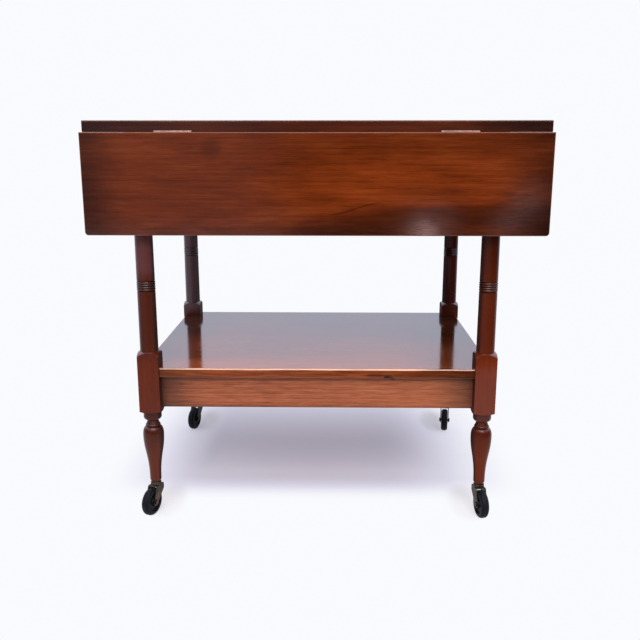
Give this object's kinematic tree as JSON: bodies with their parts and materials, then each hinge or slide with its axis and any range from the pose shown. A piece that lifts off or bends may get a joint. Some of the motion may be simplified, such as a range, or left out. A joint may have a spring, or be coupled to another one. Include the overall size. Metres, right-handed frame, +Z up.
{
  "type": "drop leaf tea trolley",
  "caption": "Wooden tea trolley with a hinged drop leaf along each long side, slotted leaf stays, turned legs, a railed lower shelf and swivel casters.",
  "frame": {"origin": "on the floor under the middle of the fixed top", "axes": "+X along the length, -Y towards the front leaf, +Z up"},
  "size_m": [0.776, 0.5268, 0.71],
  "materials": {
    "board_wood": "satin varnish over a reddish brown stain, grain along the length",
    "leg_wood": "satin varnish over a reddish brown stain, grain along the leg",
    "block_wood": "bare pale wood inside the frame",
    "hinge_steel": "plain rolled plate",
    "screw_steel": "plain turned head",
    "stay_steel": "plain flat bar",
    "caster_bronze": "brown antique bronze finish",
    "wheel_black": "hard moulded wheel with a low sheen"
  },
  "bodies": {
    "frame": {"top_panel": "board_wood", "front_left_leg": "leg_wood", "front_right_leg": "leg_wood", "rear_left_leg": "leg_wood", "rear_right_leg": "leg_wood", "front_top_rail": "board_wood", "rear_top_rail": "board_wood", "left_top_rail": "board_wood", "right_top_rail": "board_wood", "lower_shelf": "board_wood", "front_shelf_rail": "board_wood", "rear_shelf_rail": "board_wood", "left_shelf_rail": "board_wood", "right_shelf_rail": "board_wood", "top_corner_blocks": "block_wood", "shelf_corner_blocks": "block_wood", "corner_block_screws": "screw_steel", "hinge_front_left_top_plate": "hinge_steel", "hinge_front_right_top_plate": "hinge_steel", "hinge_rear_left_top_plate": "hinge_steel", "hinge_rear_right_top_plate": "hinge_steel", "hinge_pins": "hinge_steel", "top_hinge_screws": "screw_steel", "stay_studs": "stay_steel", "caster_sockets": "caster_bronze"},
    "front_leaf_body": {"front_leaf": "board_wood", "hinge_front_left_leaf_plate": "hinge_steel", "hinge_front_right_leaf_plate": "hinge_steel", "front_leaf_screws": "screw_steel", "front_stay_brackets": "stay_steel", "front_stay_rivets": "stay_steel"},
    "rear_leaf_body": {"rear_leaf": "board_wood", "hinge_rear_left_leaf_plate": "hinge_steel", "hinge_rear_right_leaf_plate": "hinge_steel", "rear_leaf_screws": "screw_steel", "rear_stay_brackets": "stay_steel", "rear_stay_rivets": "stay_steel"},
    "stay_front_left": {"stay_front_left_arm": "stay_steel"},
    "stay_front_right": {"stay_front_right_arm": "stay_steel"},
    "stay_rear_left": {"stay_rear_left_arm": "stay_steel"},
    "stay_rear_right": {"stay_rear_right_arm": "stay_steel"},
    "swivel_front_left": {"caster_front_left_stem": "caster_bronze", "caster_front_left_horn": "caster_bronze", "caster_front_left_axle": "caster_bronze"},
    "wheel_front_left": {"caster_front_left_wheel": "wheel_black"},
    "swivel_front_right": {"caster_front_right_stem": "caster_bronze", "caster_front_right_horn": "caster_bronze", "caster_front_right_axle": "caster_bronze"},
    "wheel_front_right": {"caster_front_right_wheel": "wheel_black"},
    "swivel_rear_left": {"caster_rear_left_stem": "caster_bronze", "caster_rear_left_horn": "caster_bronze", "caster_rear_left_axle": "caster_bronze"},
    "wheel_rear_left": {"caster_rear_left_wheel": "wheel_black"},
    "swivel_rear_right": {"caster_rear_right_stem": "caster_bronze", "caster_rear_right_horn": "caster_bronze", "caster_rear_right_axle": "caster_bronze"},
    "wheel_rear_right": {"caster_rear_right_wheel": "wheel_black"}
  },
  "joints": [
    {"name": "front_leaf_hinge", "type": "hinge", "parent": "frame", "child": "front_leaf_body", "pos_m": [0, -0.2444, 0.691], "axis": [-1, 0, 0], "range_deg": [0, 90]},
    {"name": "rear_leaf_hinge", "type": "hinge", "parent": "frame", "child": "rear_leaf_body", "pos_m": [0, 0.2444, 0.691], "axis": [1, 0, 0], "range_deg": [0, 90]},
    {"name": "stay_front_left_pivot", "type": "hinge", "parent": "front_leaf_body", "child": "stay_front_left", "pos_m": [-0.3236, -0.2364, 0.6271], "axis": [-1, 0, 0], "range_deg": [-45, 0]},
    {"name": "stay_front_right_pivot", "type": "hinge", "parent": "front_leaf_body", "child": "stay_front_right", "pos_m": [0.3236, -0.2364, 0.6271], "axis": [-1, 0, 0], "range_deg": [-45, 0]},
    {"name": "stay_rear_left_pivot", "type": "hinge", "parent": "rear_leaf_body", "child": "stay_rear_left", "pos_m": [-0.3236, 0.2364, 0.6271], "axis": [1, 0, 0], "range_deg": [-45, 0]},
    {"name": "stay_rear_right_pivot", "type": "hinge", "parent": "rear_leaf_body", "child": "stay_rear_right", "pos_m": [0.3236, 0.2364, 0.6271], "axis": [1, 0, 0], "range_deg": [-45, 0]},
    {"name": "caster_front_left_swivel", "type": "hinge", "parent": "frame", "child": "swivel_front_left", "pos_m": [-0.3, -0.221, 0.063], "axis": [0, 0, 1], "continuous": true},
    {"name": "caster_front_left_roll", "type": "hinge", "parent": "swivel_front_left", "child": "wheel_front_left", "pos_m": [-0.30591, -0.2364, 0.0254], "axis": [0.9336, -0.3584, 0], "continuous": true},
    {"name": "caster_front_right_swivel", "type": "hinge", "parent": "frame", "child": "swivel_front_right", "pos_m": [0.3, -0.221, 0.063], "axis": [0, 0, 1], "continuous": true},
    {"name": "caster_front_right_roll", "type": "hinge", "parent": "swivel_front_right", "child": "wheel_front_right", "pos_m": [0.30295, -0.23723, 0.0254], "axis": [0.9839, 0.1788, 0], "continuous": true},
    {"name": "caster_rear_left_swivel", "type": "hinge", "parent": "frame", "child": "swivel_rear_left", "pos_m": [-0.3, 0.221, 0.063], "axis": [0, 0, 1], "continuous": true},
    {"name": "caster_rear_left_roll", "type": "hinge", "parent": "swivel_rear_left", "child": "wheel_rear_left", "pos_m": [-0.30413, 0.20503, 0.0254], "axis": [0.9681, -0.2504, 0], "continuous": true},
    {"name": "caster_rear_right_swivel", "type": "hinge", "parent": "frame", "child": "swivel_rear_right", "pos_m": [0.3, 0.221, 0.063], "axis": [0, 0, 1], "continuous": true},
    {"name": "caster_rear_right_roll", "type": "hinge", "parent": "swivel_rear_right", "child": "wheel_rear_right", "pos_m": [0.29742, 0.2047, 0.0254], "axis": [0.9877, -0.1564, 0], "continuous": true}
  ],
  "couplings": [
    {"joint": "stay_front_left_pivot", "follows": "front_leaf_hinge", "ratio": -0.5},
    {"joint": "stay_front_right_pivot", "follows": "front_leaf_hinge", "ratio": -0.5},
    {"joint": "stay_rear_left_pivot", "follows": "rear_leaf_hinge", "ratio": -0.5},
    {"joint": "stay_rear_right_pivot", "follows": "rear_leaf_hinge", "ratio": -0.5}
  ]
}
